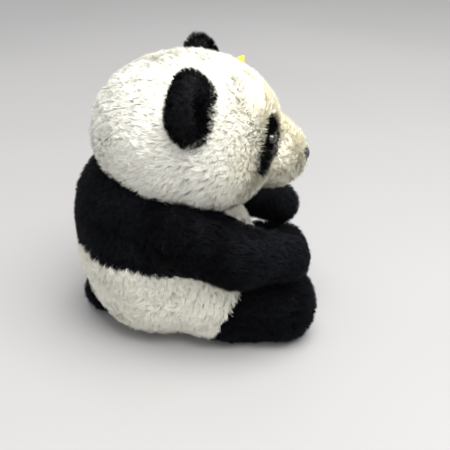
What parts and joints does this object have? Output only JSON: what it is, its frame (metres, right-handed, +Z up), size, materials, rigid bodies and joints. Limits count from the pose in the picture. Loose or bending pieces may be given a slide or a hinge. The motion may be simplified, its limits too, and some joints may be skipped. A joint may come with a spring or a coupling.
{
  "type": "plush panda",
  "caption": "Seated panda soft toy with sewn fur skins over stuffed head, torso and limbs, movable head, ears, arms, legs and tail.",
  "frame": {"origin": "centre of the outline on the surface the toy sits on", "axes": "+Z up, -Y the way the face looks, +X the toy's left side"},
  "size_m": [0.2041, 0.2305, 0.2706],
  "materials": {
    "white_fur": "cut-pile white fur, 8 to 10 mm pile",
    "cream_fur": "cut-pile cream fur, 6 to 8 mm pile",
    "black_fur": "cut-pile black fur with a faint cool sheen, 8 to 10 mm pile",
    "polyester_fill": "white polyester fibre filling",
    "pouch_cloth": "plain woven bag of plastic pellets",
    "eye_plastic": "polished black safety eye",
    "washer_plastic": "moulded locking washer",
    "black_thread": "satin stitched embroidery thread",
    "woven_tab": "plain folded yellow ribbon, no lettering"
  },
  "bodies": {
    "torso": {"back_panel_left": "black_fur", "back_panel_right": "black_fur", "seat_panel": "white_fur", "belly_panel": "white_fur", "torso_stuffing": "polyester_fill", "pellet_pouch": "pouch_cloth"},
    "neck": {"neck_core": "polyester_fill"},
    "head": {"head_panel_left": "white_fur", "head_panel_right": "white_fur", "head_gusset": "white_fur", "head_stuffing": "polyester_fill", "muzzle_skin": "cream_fur", "muzzle_stuffing": "polyester_fill", "eye_patch_left": "black_fur", "eye_patch_right": "black_fur", "eye_left": "eye_plastic", "eye_right": "eye_plastic", "eye_washer_left": "washer_plastic", "eye_washer_right": "washer_plastic", "nose_embroidery": "black_thread", "mouth_stitching": "black_thread", "label_tab": "woven_tab"},
    "tail": {"tail_skin": "black_fur", "tail_stuffing": "polyester_fill"},
    "ear_left": {"ear_front_left": "black_fur", "ear_back_left": "black_fur", "ear_stuffing_left": "polyester_fill"},
    "arm_left": {"arm_skin_left": "black_fur", "arm_stuffing_left": "polyester_fill"},
    "leg_left": {"leg_skin_left": "black_fur", "sole_left": "black_fur", "leg_stuffing_left": "polyester_fill"},
    "ear_right": {"ear_front_right": "black_fur", "ear_back_right": "black_fur", "ear_stuffing_right": "polyester_fill"},
    "arm_right": {"arm_skin_right": "black_fur", "arm_stuffing_right": "polyester_fill"},
    "leg_right": {"leg_skin_right": "black_fur", "sole_right": "black_fur", "leg_stuffing_right": "polyester_fill"}
  },
  "joints": [
    {"name": "head_turn", "type": "hinge", "parent": "torso", "child": "neck", "pos_m": [0, 0.0168, 0.15], "axis": [0, 0, 1], "range_deg": [-10, 10], "stiffness_Nm_per_rad": 1.2},
    {"name": "head_nod", "type": "hinge", "parent": "neck", "child": "head", "pos_m": [0, 0.0168, 0.17], "axis": [1, 0, 0], "range_deg": [-5, 5], "stiffness_Nm_per_rad": 2},
    {"name": "ear_fold_left", "type": "hinge", "parent": "head", "child": "ear_left", "pos_m": [0.06774, -0.00311, 0.24083], "axis": [0.6616, 0.1679, -0.7308], "range_deg": [-8, 8], "stiffness_Nm_per_rad": 0.03},
    {"name": "arm_swing_left", "type": "hinge", "parent": "torso", "child": "arm_left", "pos_m": [0.068, 0.0448, 0.12], "axis": [0, 0, 1], "range_deg": [0, 16], "stiffness_Nm_per_rad": 0.3},
    {"name": "leg_spread_left", "type": "hinge", "parent": "torso", "child": "leg_left", "pos_m": [0.08, -0.0372, 0.04], "axis": [0, 0, 1], "range_deg": [0, 10], "stiffness_Nm_per_rad": 0.4},
    {"name": "ear_fold_right", "type": "hinge", "parent": "head", "child": "ear_right", "pos_m": [-0.06774, -0.00311, 0.24083], "axis": [0.6616, -0.1679, 0.7308], "range_deg": [-8, 8], "stiffness_Nm_per_rad": 0.03},
    {"name": "arm_swing_right", "type": "hinge", "parent": "torso", "child": "arm_right", "pos_m": [-0.068, 0.0448, 0.12], "axis": [0, 0, -1], "range_deg": [0, 16], "stiffness_Nm_per_rad": 0.3},
    {"name": "leg_spread_right", "type": "hinge", "parent": "torso", "child": "leg_right", "pos_m": [-0.08, -0.0372, 0.04], "axis": [0, 0, -1], "range_deg": [0, 10], "stiffness_Nm_per_rad": 0.4},
    {"name": "tail_wag", "type": "hinge", "parent": "torso", "child": "tail", "pos_m": [0, 0.0888, 0.021], "axis": [0, 0, 1], "range_deg": [-8, 8], "stiffness_Nm_per_rad": 0.02}
  ]
}
